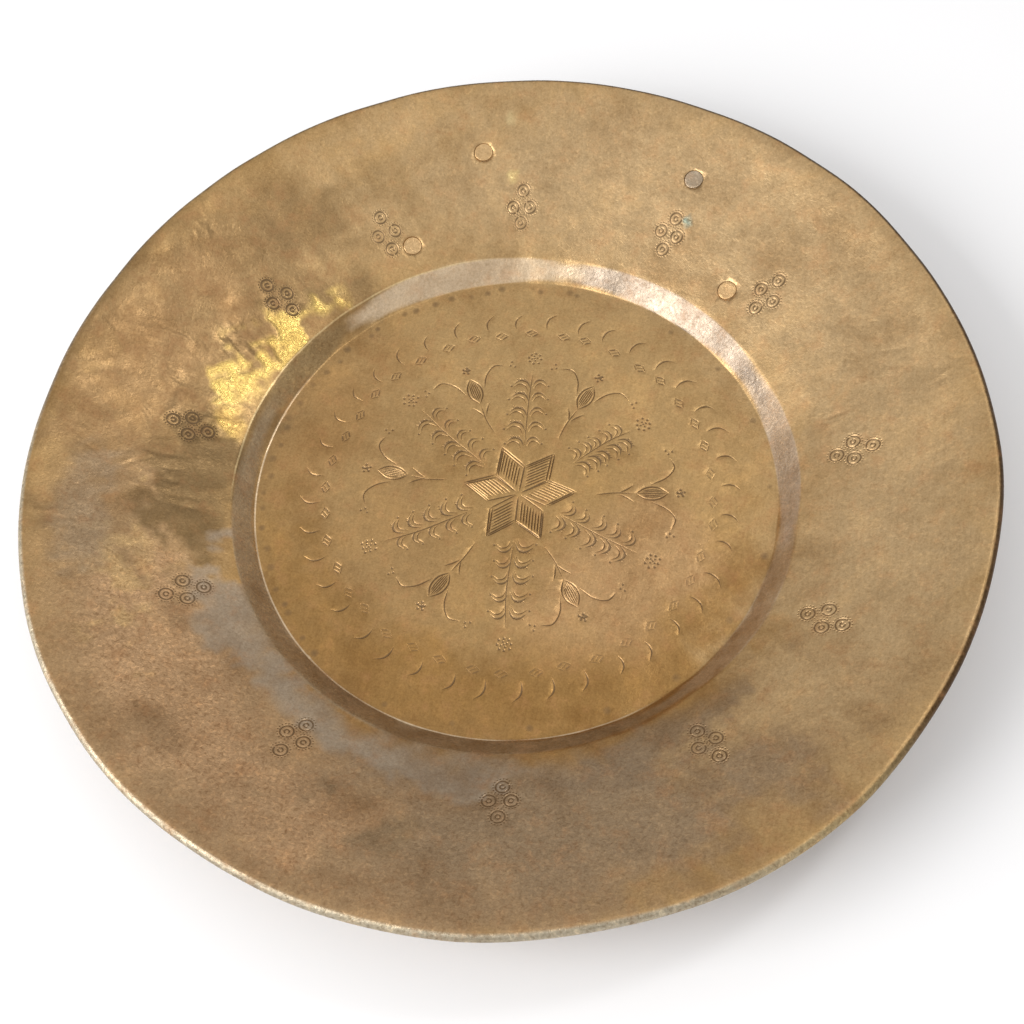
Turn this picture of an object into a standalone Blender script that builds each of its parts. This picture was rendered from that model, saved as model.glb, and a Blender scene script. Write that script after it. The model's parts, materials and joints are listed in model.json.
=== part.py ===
"""Hammered brass charger: a sunk dish with a broad sloping rim, its edge rolled over a wire.

Two doubled straps are riveted to the back of the rim, and each holds a loose D-shaped ring.
Metres, +Z up. The origin is the middle of the underside of the well, which the dish stands on.
+Y points to the top of the dish when it hangs on a wall.
"""

import math

import bpy
from mathutils import Matrix, Vector

# The sheet, in section from the middle of the well to the rim. Radii and runs are seen from above.
SHEET = 0.0012
FLOOR_RADIUS = 0.1355
WALL_RUN = 0.0103
WALL_RISE = 0.0102
RIM_WIDTH = 0.0942
RIM_RISE = 0.0430
FLOOR_FILLET = 0.0030
SHOULDER_FILLET = 0.0045

# The rolled edge and the wire inside it.
WIRE_DIAMETER = 0.0034
WIRE_CLEARANCE = 0.0003
WIRE_BUTT_GAP = 0.0012
ROLL_SWEEP = math.radians(285)

# The hanging straps: folded strips, each leaning towards a nail above the top of the dish.
STRAP_LEAN = math.radians(26.5)
STRAP_WIDTH = 0.0130
STRAP_METAL = 0.0012
STRAP_END = 0.0085
STRAP_TO_EYE = 0.0125
LAYER_GAP = 0.0003

# The rivets, with flush coned heads on the face of the dish.
RIVET_PITCH = 0.0643
INNER_RIVET_INSET = 0.0155
INNER_RIVET_TURN = math.radians(33.2)
RIVET_HEAD_DIAMETER = 0.0100
RIVET_HEAD_TAPER = 0.0010
RIVET_HEAD_RECESS = 0.0001
RIVET_SHANK_DIAMETER = 0.0050
RIVET_TAIL_DIAMETER = 0.0090
RIVET_TAIL_HEIGHT = 0.0020
RIVET_CLEARANCE = 0.0003

# The hanging rings, bent from round wire.
RING_WIRE = 0.0030
RING_CLEARANCE = 0.0005
RING_SIDE_CLEARANCE = 0.0010
RING_CORNER = 0.0022
RING_LEG = 0.0050

TURN_STEPS = 72
MERGE = 0.00001
BRASS = (0.45, 0.30, 0.12, 1.0)
RIVET_BRASS = (0.50, 0.33, 0.15, 1.0)
IRON = (0.09, 0.08, 0.07, 1.0)

# What follows from the values above.
MOUTH_RADIUS = FLOOR_RADIUS + WALL_RUN
RIM_SLOPE = RIM_RISE / RIM_WIDTH
RIM_ANGLE = math.atan(RIM_SLOPE)
ROLL_RADIUS = WIRE_DIAMETER / 2 + WIRE_CLEARANCE + SHEET / 2
EYE_RADIUS = RING_WIRE / 2 + RING_CLEARANCE + STRAP_METAL / 2


def material(name, colour, roughness):
    """A plain metal finish."""
    made = bpy.data.materials.new(name)
    made.use_nodes = True
    shader = made.node_tree.nodes["Principled BSDF"]
    shader.inputs["Base Color"].default_value = colour
    shader.inputs["Roughness"].default_value = roughness
    shader.inputs["Metallic"].default_value = 1.0
    return made


def arc(centre, radius, start, sweep, steps):
    """Points along an arc in a plane, from angle start through the angle sweep."""
    turns = [start + sweep * i / steps for i in range(steps + 1)]
    return [(centre[0] + radius * math.cos(a), centre[1] + radius * math.sin(a)) for a in turns]


def rounded(before, corner, after, radius, steps=3):
    """A corner between two straight runs, replaced by an arc tangent to both."""
    corner = Vector(corner)
    back = (Vector(before) - corner).normalized()
    ahead = (Vector(after) - corner).normalized()
    half = back.angle(ahead) / 2
    centre = corner + (back + ahead).normalized() * (radius / math.sin(half))
    first = corner + back * (radius / math.tan(half)) - centre
    last = corner + ahead * (radius / math.tan(half)) - centre
    start = math.atan2(first.y, first.x)
    sweep = math.remainder(math.atan2(last.y, last.x) - start, math.tau)
    return arc(centre, radius, start, sweep, steps)


def rim_height(radius):
    """Height of the middle of the sheet on the sloping rim, at a distance from the axis."""
    return SHEET / 2 + WALL_RISE + (radius - MOUTH_RADIUS) * RIM_SLOPE


def roll_centre():
    """Radius and height of the wire's centre, where the rolled edge just reaches the full width."""
    radius = MOUTH_RADIUS + RIM_WIDTH - ROLL_RADIUS - SHEET / 2
    above = ROLL_RADIUS / math.cos(RIM_ANGLE)
    return radius, rim_height(radius) - above


def sheet_profile():
    """The middle of the sheet from the axis outwards, as (radius, height)."""
    axis = (0.0, SHEET / 2)
    floor_edge = (FLOOR_RADIUS, SHEET / 2)
    mouth = (MOUTH_RADIUS, rim_height(MOUTH_RADIUS))
    start_of_roll = RIM_ANGLE + math.pi / 2
    roll = arc(roll_centre(), ROLL_RADIUS, start_of_roll, -ROLL_SWEEP, 13)
    points = [axis, (FLOOR_RADIUS / 2, SHEET / 2)]
    points += rounded(axis, floor_edge, mouth, FLOOR_FILLET)
    points += rounded(floor_edge, mouth, roll[0], SHOULDER_FILLET)
    middle = (MOUTH_RADIUS + roll[0][0]) / 2
    points.append((middle, rim_height(middle)))
    return points + roll


def line_mesh(name, points):
    """A mesh of one open line through the points."""
    mesh = bpy.data.meshes.new(name)
    links = [(i, i + 1) for i in range(len(points) - 1)]
    mesh.from_pydata([tuple(p) for p in points], links, [])
    return mesh


def placed(obj, collection, finish):
    """Puts an object into a collection with its material."""
    collection.objects.link(obj)
    if finish is not None:
        obj.data.materials.append(finish)
    return obj


def screw(obj, steps):
    """Turns a profile once about the object's own Z axis."""
    turn = obj.modifiers.new("Turn", "SCREW")
    turn.axis = "Z"
    turn.steps = steps
    turn.render_steps = steps
    turn.use_merge_vertices = True
    turn.merge_threshold = MERGE
    turn.use_smooth_shade = False
    return turn


def cut(obj, cutter):
    """Cuts one object out of another and leaves the cutter as a hidden guide."""
    boolean = obj.modifiers.new("Cut " + cutter.name, "BOOLEAN")
    boolean.operation = "DIFFERENCE"
    boolean.solver = "EXACT"
    boolean.object = cutter


def as_mesh(curve_object):
    """A curve object's surface as a mesh object in the same place; the curve is removed."""
    bpy.context.view_layer.update()
    graph = bpy.context.evaluated_depsgraph_get()
    mesh = bpy.data.meshes.new_from_object(curve_object.evaluated_get(graph))
    name = curve_object.name
    collection = curve_object.users_collection[0]
    place = curve_object.matrix_world.copy()
    bpy.data.objects.remove(curve_object)
    made = bpy.data.objects.new(name, mesh)
    made.matrix_world = place
    collection.objects.link(made)
    return made


def back_of_rim(point):
    """Distance from a point to the underside of the sloping rim, positive below it."""
    radius = math.hypot(point.x, point.y)
    return (rim_height(radius) - point.z) * math.cos(RIM_ANGLE) - SHEET / 2


class StrapPlace:
    """Where one strap lies. side is 1 for the strap at +X and -1 for the one at -X.

    along runs from the inner rivet to the outer one, across over the strap's width, and
    down is square to both and points away from the metal of the rim.
    """

    def __init__(self, side):
        self.side = side
        inner_radius = MOUTH_RADIUS + INNER_RIVET_INSET
        inner_x = inner_radius * math.sin(INNER_RIVET_TURN)
        inner_y = inner_radius * math.cos(INNER_RIVET_TURN)
        outer_x = inner_x - RIVET_PITCH * math.sin(STRAP_LEAN)
        outer_y = inner_y + RIVET_PITCH * math.cos(STRAP_LEAN)
        self.rivets = {
            "inner": self.on_rim(inner_x, inner_y),
            "outer": self.on_rim(outer_x, outer_y),
        }
        self.middle = (self.rivets["inner"] + self.rivets["outer"]) / 2
        self.along = (self.rivets["outer"] - self.rivets["inner"]).normalized()
        facing = self.into_rim(self.middle)
        self.across = self.along.cross(facing).normalized()
        self.down = self.along.cross(self.across).normalized()
        self.half_pitch = (self.rivets["outer"] - self.middle).length

    def on_rim(self, x, y):
        """The point in the middle of the sheet above a place in the plan."""
        return Vector((self.side * x, y, rim_height(math.hypot(x, y))))

    @staticmethod
    def into_rim(point):
        """Direction square to the sloping rim at a point, upwards out of its face."""
        outward = Vector((point.x, point.y, 0)).normalized()
        return Vector((-outward.x * RIM_SLOPE, -outward.y * RIM_SLOPE, 1)).normalized()

    def laid(self, along, away, across):
        """A point of the flat strap bent to follow the back of the rim, away from it."""
        flat = self.middle + along * self.along + across * self.across
        return flat + (away - back_of_rim(flat)) * self.down

    def eye(self):
        """Centre and direction of the strap's eye, which the ring's bar turns in."""
        along = self.half_pitch + STRAP_TO_EYE
        away = LAYER_GAP + STRAP_METAL / 2 + EYE_RADIUS
        one_end = self.laid(along, away, -STRAP_WIDTH / 2)
        other_end = self.laid(along, away, STRAP_WIDTH / 2)
        return (one_end + other_end) / 2, (other_end - one_end).normalized()


def strap_section(half_pitch):
    """The folded strip in side view: out along the rim, round the eye and back, as (along, away)."""
    near = LAYER_GAP + STRAP_METAL / 2
    far = near + STRAP_METAL + LAYER_GAP
    end = -half_pitch - STRAP_END
    eye = half_pitch + STRAP_TO_EYE
    eye_arc = arc((eye, near + EYE_RADIUS), EYE_RADIUS, -math.pi / 2, math.radians(240), 12)
    last = eye_arc[-1]
    heading = math.radians(240)
    drop = (last[1] - far) / -math.sin(heading)
    meets = (last[0] + drop * math.cos(heading), far)
    runs = 7
    out = [(end + (eye - end) * i / runs, near) for i in range(runs)]
    home = [(meets[0] + (end - meets[0]) * i / runs, far) for i in range(runs + 1)]
    return out + eye_arc + home


def make_dish(collection, finish):
    """The dish itself: one sheet, sunk, turned up and rolled over at its edge."""
    profile = [(radius, 0.0, height) for radius, height in reversed(sheet_profile())]
    dish = placed(bpy.data.objects.new("dish", line_mesh("dish", profile)), collection, finish)
    screw(dish, TURN_STEPS)
    wall = dish.modifiers.new("Sheet", "SOLIDIFY")
    wall.thickness = SHEET
    wall.offset = 0.0
    wall.use_even_offset = True
    return dish


def make_edge_wire(collection, finish):
    """The stiffening wire inside the rolled edge, bent to a hoop with its ends nearly meeting."""
    radius, height = roll_centre()
    gap = WIRE_BUTT_GAP / radius
    curve = bpy.data.curves.new("edge_wire", "CURVE")
    curve.dimensions = "3D"
    curve.bevel_depth = WIRE_DIAMETER / 2
    curve.bevel_resolution = 2
    curve.use_fill_caps = True
    spline = curve.splines.new("POLY")
    hoop = arc((0, 0), radius, gap / 2 - math.pi / 2, math.tau - gap, TURN_STEPS)
    spline.points.add(len(hoop) - 1)
    for point, (x, y) in zip(spline.points, hoop):
        point.co = (x, y, height, 1)
    return placed(bpy.data.objects.new("edge_wire", curve), collection, finish)


def make_strap(name, place, collection, finish):
    """A strip folded in two round the ring's bar, laid along the back of the rim."""
    curve = bpy.data.curves.new(name, "CURVE")
    curve.dimensions = "3D"
    curve.extrude = STRAP_WIDTH / 2
    section = strap_section(place.half_pitch)
    spline = curve.splines.new("POLY")
    spline.points.add(len(section) - 1)
    for point, (along, away) in zip(spline.points, section):
        point.co = (along, away, 0, 1)
    strap = as_mesh(placed(bpy.data.objects.new(name, curve), collection, finish))
    for vertex in strap.data.vertices:
        vertex.co = place.laid(*vertex.co)
    metal = strap.modifiers.new("Strip", "SOLIDIFY")
    metal.thickness = STRAP_METAL
    metal.offset = 0.0
    metal.use_even_offset = True
    return strap


def rivet_frame(place, which):
    """The rivet's own frame: Z runs up out of the face of the dish, origin in mid sheet."""
    point = place.rivets[which]
    turn = Vector((0, 0, 1)).rotation_difference(place.into_rim(point))
    return Matrix.Translation(point) @ turn.to_matrix().to_4x4()


def rivet_profile():
    """Half of the rivet from its tail's crown to the middle of its head, as (radius, height)."""
    face = SHEET / 2 - RIVET_HEAD_RECESS
    head = RIVET_HEAD_DIAMETER / 2
    shank = RIVET_SHANK_DIAMETER / 2
    tail = RIVET_TAIL_DIAMETER / 2
    seat = -SHEET / 2 - 2 * STRAP_METAL - 3 * LAYER_GAP
    dome = [
        (tail * math.cos(turn), seat - RIVET_TAIL_HEIGHT * math.sin(turn))
        for turn in (math.pi / 2 * i / 5 for i in range(6))
    ]
    dome[-1] = (0.0, seat - RIVET_TAIL_HEIGHT)
    below = dome[::-1] + [(shank, seat)]
    return below + [(shank, -SHEET / 2), (head - RIVET_HEAD_TAPER, -SHEET / 2), (head, face), (0.0, face)]


def make_rivet(name, place, which, collection, finish):
    """A solid rivet: flush coned head, shank, and a tail hammered to a low dome."""
    profile = [(radius, 0.0, height) for radius, height in reversed(rivet_profile())]
    rivet = placed(bpy.data.objects.new(name, line_mesh(name, profile)), collection, finish)
    rivet.matrix_world = rivet_frame(place, which)
    screw(rivet, 20)
    return rivet


def make_cutter(name, place, which, top_radius, bottom_radius, top, bottom, collection):
    """A cone that cuts a rivet's hole, square to the rim."""
    bpy.ops.mesh.primitive_cone_add(
        vertices=24, radius1=bottom_radius, radius2=top_radius, depth=top - bottom
    )
    cutter = bpy.context.active_object
    cutter.name = name
    cutter.matrix_world = rivet_frame(place, which) @ Matrix.Translation((0, 0, (top + bottom) / 2))
    for other in list(cutter.users_collection):
        other.objects.unlink(cutter)
    collection.objects.link(cutter)
    cutter.hide_render = True
    cutter.display_type = "WIRE"
    return cutter


def head_cutter(name, place, which, collection):
    """Cuts the coned seat for a rivet's head, longer than the sheet is thick."""
    slope = RIVET_HEAD_TAPER / (SHEET - RIVET_HEAD_RECESS)
    sideways = RIVET_CLEARANCE * math.hypot(1.0, slope)
    at_face = RIVET_HEAD_DIAMETER / 2 + sideways
    reach = SHEET * 1.5
    face = SHEET / 2 - RIVET_HEAD_RECESS
    top = at_face + (reach - face) * slope
    bottom = at_face - (reach + face) * slope
    return make_cutter(name, place, which, top, bottom, reach, -reach, collection)


def shank_cutter(name, place, which, collection):
    """Cuts the holes for a rivet's shank through both layers of a strap."""
    radius = RIVET_SHANK_DIAMETER / 2 + RIVET_CLEARANCE
    deep = SHEET + 3 * STRAP_METAL + 4 * LAYER_GAP
    return make_cutter(name, place, which, radius, radius, -SHEET / 2, -deep, collection)


def ring_half_width():
    """Half the distance between the middles of the ring's two legs."""
    return STRAP_WIDTH / 2 + RING_SIDE_CLEARANCE + RING_CORNER


def ring_path():
    """The ring's centre line, as (across, drop) from the middle of its bar."""
    half = ring_half_width()
    corner = RING_CORNER
    points = [(0.0, 0.0)]
    points += arc((half - corner, corner), corner, -math.pi / 2, math.pi / 2, 4)
    points += arc((0, RING_LEG), half, 0.0, math.pi, 16)
    points += arc((corner - half, corner), corner, math.pi, math.pi / 2, 4)
    return points


def make_ring(name, place, collection, finish):
    """A D-shaped ring hanging straight down from its bar in the strap's eye."""
    curve = bpy.data.curves.new(name, "CURVE")
    curve.dimensions = "3D"
    curve.bevel_depth = RING_WIRE / 2
    curve.bevel_resolution = 3
    path = ring_path()
    spline = curve.splines.new("POLY")
    spline.points.add(len(path) - 1)
    spline.use_cyclic_u = True
    for point, (across, drop) in zip(spline.points, path):
        point.co = (across, 0, -drop, 1)
    ring = placed(bpy.data.objects.new(name, curve), collection, finish)
    centre, axis = place.eye()
    up = (Vector((0, 0, 1)) - axis * axis.z).normalized()
    turn = Matrix((axis, up.cross(axis), up)).transposed()
    ring.matrix_world = Matrix.Translation(centre) @ turn.to_4x4()
    return ring


def new_collection(name):
    """A collection in the scene."""
    made = bpy.data.collections.new(name)
    bpy.context.scene.collection.children.link(made)
    return made


def main():
    """Builds the charger."""
    for obj in list(bpy.data.objects):
        bpy.data.objects.remove(obj)
    parts = new_collection("charger")
    guides = new_collection("cutters")
    brass = material("sheet_brass", BRASS, 0.42)
    rivet_brass = material("rivet_brass", RIVET_BRASS, 0.38)
    iron = material("iron_wire", IRON, 0.6)

    dish = make_dish(parts, brass)
    make_edge_wire(parts, iron)
    for label, side in (("right", 1), ("left", -1)):
        place = StrapPlace(side)
        strap = make_strap(f"strap_{label}", place, parts, brass)
        for which in ("inner", "outer"):
            spot = f"{which}_{label}"
            cut(dish, head_cutter(f"head_seat_{spot}", place, which, guides))
            cut(strap, shank_cutter(f"shank_hole_{spot}", place, which, guides))
            make_rivet(f"rivet_{spot}", place, which, parts, rivet_brass)
        make_ring(f"ring_{label}", place, parts, iron)
    return parts


main()
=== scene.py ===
"""A hammered and engraved brass charger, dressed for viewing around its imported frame."""

import json
import math

import bpy
import numpy as np
from mathutils import Matrix, Vector, geometry


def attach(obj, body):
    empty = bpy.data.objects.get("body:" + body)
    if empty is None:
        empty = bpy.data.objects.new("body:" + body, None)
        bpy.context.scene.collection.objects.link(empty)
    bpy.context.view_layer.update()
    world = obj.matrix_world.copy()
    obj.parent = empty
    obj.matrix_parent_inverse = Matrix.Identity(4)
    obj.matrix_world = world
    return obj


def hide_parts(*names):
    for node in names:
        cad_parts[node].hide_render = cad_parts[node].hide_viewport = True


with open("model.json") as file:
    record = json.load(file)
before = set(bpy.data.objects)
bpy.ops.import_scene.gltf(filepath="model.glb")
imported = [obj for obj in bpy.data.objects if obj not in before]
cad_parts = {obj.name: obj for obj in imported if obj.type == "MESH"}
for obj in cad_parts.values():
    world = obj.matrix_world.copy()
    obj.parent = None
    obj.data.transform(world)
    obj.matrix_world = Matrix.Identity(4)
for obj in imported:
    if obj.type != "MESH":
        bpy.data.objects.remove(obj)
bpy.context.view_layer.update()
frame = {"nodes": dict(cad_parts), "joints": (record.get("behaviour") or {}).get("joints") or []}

# ---------------------------------------------------------------------------------------------
# The engraving. It is cut with a chisel into the floor of the well, from a star in the middle
# outwards: leafy sprays, hatched buds, diamonds and a border of curved nicks. All of it is laid
# out in millimetres from the middle of the dish, and each cut is a line of V-shaped groove.
# ---------------------------------------------------------------------------------------------
MM = 0.001
CUT_STEP = 0.60
STAR_CENTRE = np.array([2.5, 0.0])
cuts = []
punches = []
hand = np.random.default_rng(41)


def heading(degrees):
    """Unit vector at an angle from +X."""
    turn = np.radians(degrees)
    return np.stack([np.cos(turn), np.sin(turn)], axis=-1)


def smooth_line(points, count):
    """A Catmull-Rom curve through the points, evaluated as one array at count even places."""
    points = np.asarray(points, float)
    ends = np.vstack([2 * points[0] - points[1], points, 2 * points[-1] - points[-2]])
    place = np.linspace(0, len(points) - 1, count)
    span = np.minimum(place.astype(int), len(points) - 2)
    t = (place - span)[:, None]
    a, b, c, d = (ends[span + k] for k in range(4))
    return 0.5 * (2 * b + (c - a) * t + (2 * a - 5 * b + 4 * c - d) * t**2 + (3 * b - a - 3 * c + d) * t**3)


def cut(points, half_width=0.38, depth=0.26, taper=0.2):
    """One chisel cut through the points; width and depth swell from the ends over the taper's share."""
    points = np.asarray(points, float)
    length = np.linalg.norm(np.diff(points, axis=0), axis=1).sum()
    count = max(3, int(round(length / CUT_STEP)) + 1)
    line = smooth_line(points, count)
    along = np.linspace(0, 1, count)
    swell = np.clip(np.minimum(along, 1 - along) / max(taper, 1e-3), 0.0, 1) ** 0.7
    cuts.append(np.column_stack([line, half_width * np.maximum(swell, 0.1), depth * swell]))


def punch(centre, radius, depth):
    """One round punch mark."""
    punches.append((centre[0], centre[1], radius, depth))


def engrave_star():
    """Six hatched lozenges, their outer edges cut double."""
    half_angle, reach = 27.5, 30.0
    side = reach / (2 * math.cos(math.radians(half_angle)))
    for tip in (12, 64, 120, 178, 249, 305):
        a = side * heading(tip - half_angle)
        b = side * heading(tip + half_angle)
        inward = 1.35 / side
        for start, edge in ((a, b), (b, a)):
            for line in (0.0, inward):
                wander = hand.uniform(-0.3, 0.3, (2, 2))
                ends = [start * (1 - line), start * (1 - line) + edge]
                cut(STAR_CENTRE + np.array(ends) + wander, 0.48, 0.36)
        cut(STAR_CENTRE + np.array([0.08 * a, a]), 0.40, 0.28)
        cut(STAR_CENTRE + np.array([0.08 * b, b]), 0.40, 0.28)
        for share in np.linspace(0.17, 0.83, 7):
            near = share * b + hand.uniform(0.10, 0.16) * a
            far = share * b + hand.uniform(0.86, 0.93) * a
            cut(STAR_CENTRE + np.array([near, far]), 0.40, 0.32)


def leaf_line(u, v, big, side):
    """A leaf's line from the stem at (u, v): out along the stem, over, and back down at its tip."""
    bend = ((0, 0), (4.6, 2.4), (5.5, 6.2), (2.6, 10.0))
    return [(u + big * du, side * (v + big * dv)) for du, dv in bend]


def engrave_spray(direction, start, reach, side):
    """A stem with five pairs of curved leaves, cut double, dotted at the tips, hatched on one side."""
    out = heading(direction)
    across = side * heading(direction + 90)

    def at(*places):
        return [STAR_CENTRE + u * out + v * across for u, v in places]

    bend = hand.uniform(-1.5, 1.5)
    middle = (start + reach) / 2
    cut(at((start, 0), (middle, bend), (reach - 8, 0)), 0.34, 0.18)
    gap = (reach - start - 12) / 5
    for leaf in range(5):
        u = start + 1 + leaf * gap + hand.uniform(-0.6, 0.6)
        big = hand.uniform(0.92, 1.08)
        cut(at(*leaf_line(u, 0.3, big, 1.0)), 0.92, 0.38, 0.5)
        cut(at(*leaf_line(u - 2.0, 1.4, 0.9 * big, 1.0)), 0.42, 0.28, 0.45)
        for v in (3.0, 4.6, 6.2, 7.8):
            cut(at((u + 5.2 * big, v * big), (u + 6.8 * big, (v + 0.9) * big)), 0.36, 0.24, 0.5)
        cut(at(*leaf_line(u + 1.4, 0.3, 0.86 * big, -1.0)), 0.74, 0.32, 0.5)
        cut(at(*leaf_line(u - 0.2, 1.4, 0.74 * big, -1.0)), 0.36, 0.24, 0.45)
        punch(at((u + 1.2 * big, 11.2 * big))[0], 0.85, 0.30)
        punch(at((u + 2.4 * big, -9.6 * big))[0], 0.80, 0.28)
    engrave_blossom(at((reach, 0))[0], 3.6, 8)


def engrave_blossom(centre, radius, dots):
    """A small flower of punched dots: an outer ring, an inner one and a dot in the middle."""
    turns = np.linspace(0, 360, dots, endpoint=False) + hand.uniform(0, 40)
    for turn in turns:
        punch(centre + radius * hand.uniform(0.8, 1.15) * heading(turn), 0.95, 0.38)
    for turn in turns[::2]:
        punch(centre + 0.42 * radius * heading(turn + 20), 0.75, 0.30)
    punch(centre, 0.75, 0.30)


def engrave_bud(direction, middle):
    """A pointed bud hatched along its length, on a forked stem with two curled tendrils."""
    out = heading(direction)
    across = heading(direction + 90)

    def at(*places):
        return [STAR_CENTRE + u * out + v * across for u, v in places]

    base, tip, half = middle - 8.5, middle + 8.5, 3.4
    for side in (-1, 1):
        cut(at((base, 0), (middle - 3, side * half), (middle + 3, side * half), (tip, 0)), 0.50, 0.34)
        cut(at((base - 9, side * 0.3), (base - 5, side * 2.2), (base - 1, side * 5.0)), 0.45, 0.28, 0.4)
        curl = ((-1, 5), (7, 9.0), (11.5, 15), (9.5, 21))
        cut(at(*((middle + u, side * v) for u, v in curl)), 0.42, 0.26)
        for u, v in ((8.5, 23.5), (10.5, 25.0), (7.0, 25.5)):
            punch(at((middle + u, side * v))[0], 0.85, 0.30)
    for share in (-0.62, -0.32, 0.0, 0.32, 0.62):
        reach = 7.2 * (1 - 0.45 * abs(share))
        low, high = share * half * 0.75, share * half
        cut(at((middle - reach, low), (middle, high), (middle + reach, low)), 0.36, 0.26)
    cut(at((base - 21, hand.uniform(-1.5, 1.5)), (base - 11, 0.4), (base - 1, 0)), 0.34, 0.22)
    engrave_blossom(at((tip + 6.0, 0))[0], 2.0, 5)


def engrave_border(count=40):
    """Round the floor: nicks that bend over clockwise, and small hatched diamonds inside them."""
    for step in range(count):
        turn = step * 360 / count - 4.5 + hand.uniform(-0.8, 0.8)
        out, across = heading(turn), heading(turn - 90)
        big = hand.uniform(0.9, 1.1)
        bend = ((0, 0.6), (4, 0), (7.6, 1.1), (10.6, 4.8))
        nick = [(104.0 + big * u) * out + big * v * across for u, v in bend]
        cut(STAR_CENTRE + np.array(nick), 0.58, 0.30, 0.4)
        turn += hand.uniform(3.4, 4.6)
        centre = STAR_CENTRE + (100.6 + hand.uniform(-1, 1)) * heading(turn)
        out, across = 2.5 * heading(turn), 3.8 * heading(turn + 90)
        deep = 0.09 + 0.08 * (math.cos(math.radians(turn - 120)) > -0.2)
        for a, b in ((out, across), (across, -out), (-out, -across), (-across, out)):
            cut([centre + a, centre + b], 0.30, deep)
        for share in (-0.4, 0.0, 0.4):
            shift, half = share * (across + out), 0.42 * (across - out)
            cut([centre + shift - half, centre + shift + half], 0.28, deep)


engrave_star()
for spray in (
    (97, 28, 85, 1),
    (44, 33, 77, -1),
    (-18.5, 24, 79, -1),
    (-82, 27, 85, 1),
    (-147, 25, 82, -1),
    (147, 25, 83.5, 1),
):
    engrave_spray(*spray)
for bud in ((71, 68), (11, 69), (-53, 63.5), (-115, 65), (180, 68), (123, 68.5)):
    engrave_bud(*bud)
engrave_border()

# ---------------------------------------------------------------------------------------------
# The rosettes: four strikes of one ring-shaped punch make each group, and twelve groups go round
# the rim. Inside them, where the floor turns up, a blunt round punch left a row of shallow marks.
# ---------------------------------------------------------------------------------------------
GROUP_ANGLES = (101, 72.5, 50.2, 14.6, -17.1, -45.5, -78.6, -112.9, -146, 181.4, 150.8, 127.1)
GROUP_STRIKES = ((180.4, 0.0), (171.8, 1.6), (171.6, -1.6), (163.4, 0.0))


def strike(centre):
    """One strike: a ring of beads, a broad ring groove inside them and a small ring in the middle."""
    turned = hand.uniform(0, 360)
    deep = hand.uniform(0.55, 0.95)
    around = np.linspace(0, 360, 21) + turned
    cut(centre + 3.15 * heading(around), 0.55, 0.34 * deep, 0.0)
    cut(centre + 1.15 * heading(around[::2]), 0.50, 0.32 * deep, 0.0)
    for bead in np.linspace(0, 360, 18, endpoint=False) + turned:
        punch(centre + 4.35 * heading(bead), 0.49, 0.26 * deep)


for angle in GROUP_ANGLES:
    lean = hand.uniform(-0.5, 0.5)
    for radius, turn in GROUP_STRIKES:
        strike(radius * heading(angle + turn + lean * (radius - 172) / 20) + hand.uniform(-0.5, 0.5, 2))

for turn in np.concatenate([np.arange(86, 232, 4.6), np.arange(236, 440, 17.0)]):
    turn = turn + hand.uniform(-1.6, 1.6)
    centre = (131.2 + hand.uniform(-2.2, 1.2)) * heading(turn)
    punch(centre, hand.uniform(1.9, 2.9), hand.uniform(0.05, 0.10))

# ---------------------------------------------------------------------------------------------
# The dish: one sheet of brass, sunk to a flat well and planished all over, so the whole sheet
# rolls in shallow dents. Its edge is turned down and round a wire. The face is triangulated from
# the cuts themselves; the rolled edge and the back are a profile carried round the axis.
# ---------------------------------------------------------------------------------------------
SHEET = 0.0012
FLOOR_RADIUS, MOUTH_RADIUS, RIM_RADIUS = 0.1355, 0.1458, 0.2400
WALL_SLOPE, RIM_SLOPE = 0.0102 / 0.0103, 0.0430 / 0.0942
ROLL_RADIUS, ROLL_SWEEP = 0.0026, math.radians(285)
RIM_ANGLE = math.atan(RIM_SLOPE)
AROUND = 360
# The rolled edge rises and falls with the sheet at this radius.
EDGE_MOVES_AS = 0.2355
# Between these radii, in millimetres, the wall has rows of its own in place of the even field.
WALL_BAND = (132.6, 150.0)
RIVETS = np.array([[0.08832, 0.13497], [0.05963, 0.19251], [-0.08832, 0.13497], [-0.05963, 0.19251]])
RIVET_SEAT, RIVET_POCKET = 0.0053, 0.0005
RIVET_OUT = RIVETS / np.linalg.norm(RIVETS, axis=1)[:, None]
RIVET_MIDDLES = RIVETS - SHEET / 2 * math.sin(RIM_ANGLE) * RIVET_OUT


def softened(x, width):
    """The positive part of x, its corner rounded over the width: width * log(1 + exp(x / width))."""
    return width * np.logaddexp(0, x / width)


def mid_height(radius):
    """Height of the middle of the sheet: flat, then the wall's slope, then the rim's."""
    wall = WALL_SLOPE * softened(radius - FLOOR_RADIUS, 0.00035)
    return SHEET / 2 + wall - (WALL_SLOPE - RIM_SLOPE) * softened(radius - MOUTH_RADIUS, 0.00045)


def beaten(turn):
    """How far the wall stands in or out of its circle where the hammer has moved it."""
    slow = 0.00035 * np.sin(9 * turn + 1.0) + 0.00022 * np.sin(23 * turn + 0.4)
    return slow + 0.00012 * np.sin(41 * turn)


def roll_centre():
    """Radius and height of the middle of the rolled edge."""
    radius = RIM_RADIUS - ROLL_RADIUS - SHEET / 2
    return radius, mid_height(radius) - ROLL_RADIUS / math.cos(RIM_ANGLE)


def mid_slope(radius):
    """Slope of the middle of the sheet at a radius."""
    step = 1e-5
    return (mid_height(radius + step) - mid_height(radius - step)) / (2 * step)


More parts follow.
